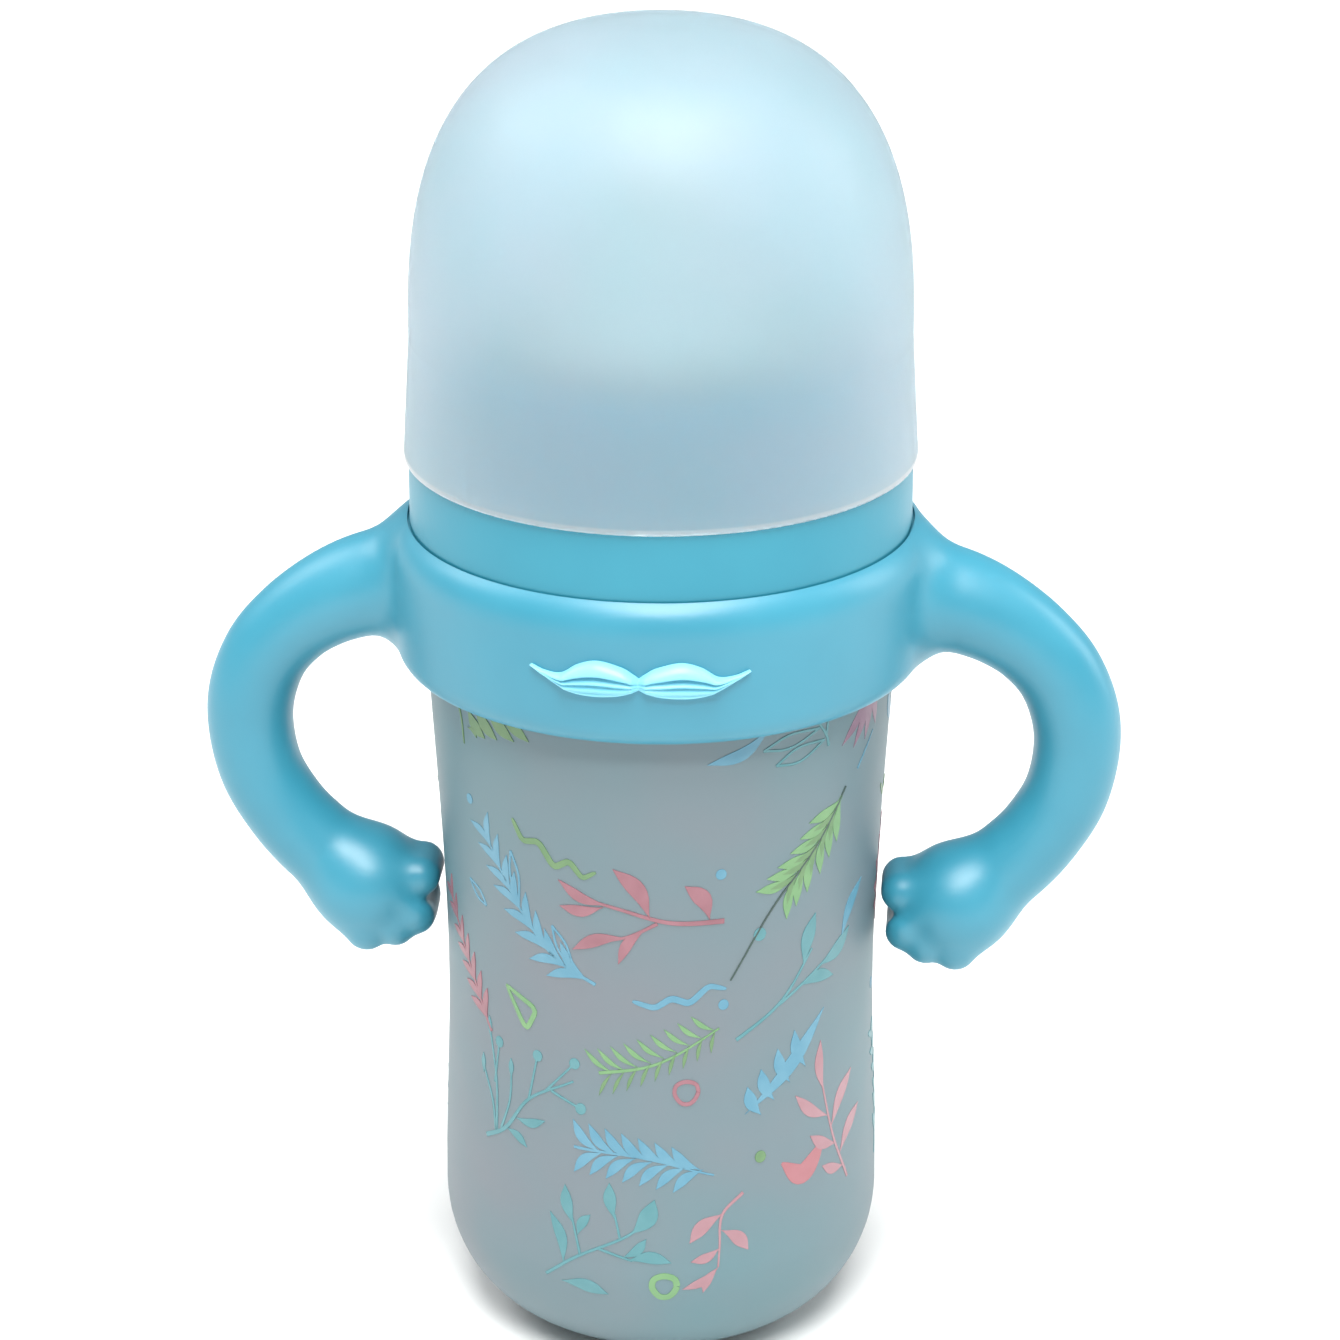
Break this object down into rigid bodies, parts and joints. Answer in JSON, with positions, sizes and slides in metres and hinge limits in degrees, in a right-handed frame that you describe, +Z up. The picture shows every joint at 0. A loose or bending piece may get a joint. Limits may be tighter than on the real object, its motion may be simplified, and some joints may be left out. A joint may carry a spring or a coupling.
{
  "type": "baby bottle",
  "caption": "Translucent wide-neck baby bottle with a two-armed handle collar, screw ring, silicone teat, domed travel cap and weighted straw.",
  "frame": {"origin": "centre of the base, on the plane that the foot ring stands on", "axes": "+Z up the bottle's axis, -Y towards the front with the small relief, +X and -X towards the two handle arms"},
  "size_m": [0.13, 0.0762, 0.1911],
  "materials": {
    "bottle_plastic": "milky translucent, printed with small sprigs",
    "handle_rubber": "soft satin moulding, light cyan",
    "ring_plastic": "satin moulding, teal",
    "cap_plastic": "frosted translucent",
    "teat_silicone": "translucent silicone",
    "connector_plastic": "white moulding",
    "straw_silicone": "translucent silicone tube",
    "weight_plastic": "moulded shell",
    "weight_steel": "turned stainless steel"
  },
  "bodies": {
    "bottle": {"bottle_body": "bottle_plastic"},
    "handles": {"handle_ring": "handle_rubber"},
    "closure": {"teat": "teat_silicone", "straw_connector": "connector_plastic"},
    "ring": {"screw_ring": "ring_plastic"},
    "cap": {"travel_cap": "cap_plastic"},
    "straw": {"straw_tube": "straw_silicone", "weight_shell_upper": "weight_plastic", "weight_shell_lower": "weight_plastic", "weight_core": "weight_steel"}
  },
  "joints": [
    {"name": "handle_turn", "type": "hinge", "parent": "bottle", "child": "handles", "pos_m": [0, 0, 0.1114], "axis": [0, 0, 1], "continuous": true},
    {"name": "closure_lift", "type": "slide", "parent": "bottle", "child": "closure", "axis": [0, 0, 1], "range_m": [0, 0.005]},
    {"name": "ring_turn", "type": "hinge", "parent": "closure", "child": "ring", "pos_m": [0, 0, 0.134], "axis": [0, 0, 1], "range_deg": [0, 450]},
    {"name": "cap_pull", "type": "slide", "parent": "ring", "child": "cap", "axis": [0, 0, 1], "range_m": [0, 0.055]},
    {"name": "straw_swing", "type": "hinge", "parent": "closure", "child": "straw", "pos_m": [0, 0, 0.1557], "axis": [1, 0, 0], "range_deg": [-8, 8]}
  ],
  "couplings": [
    {"joint": "closure_lift", "follows": "ring_turn", "m_per_rad": 0.0006366}
  ]
}
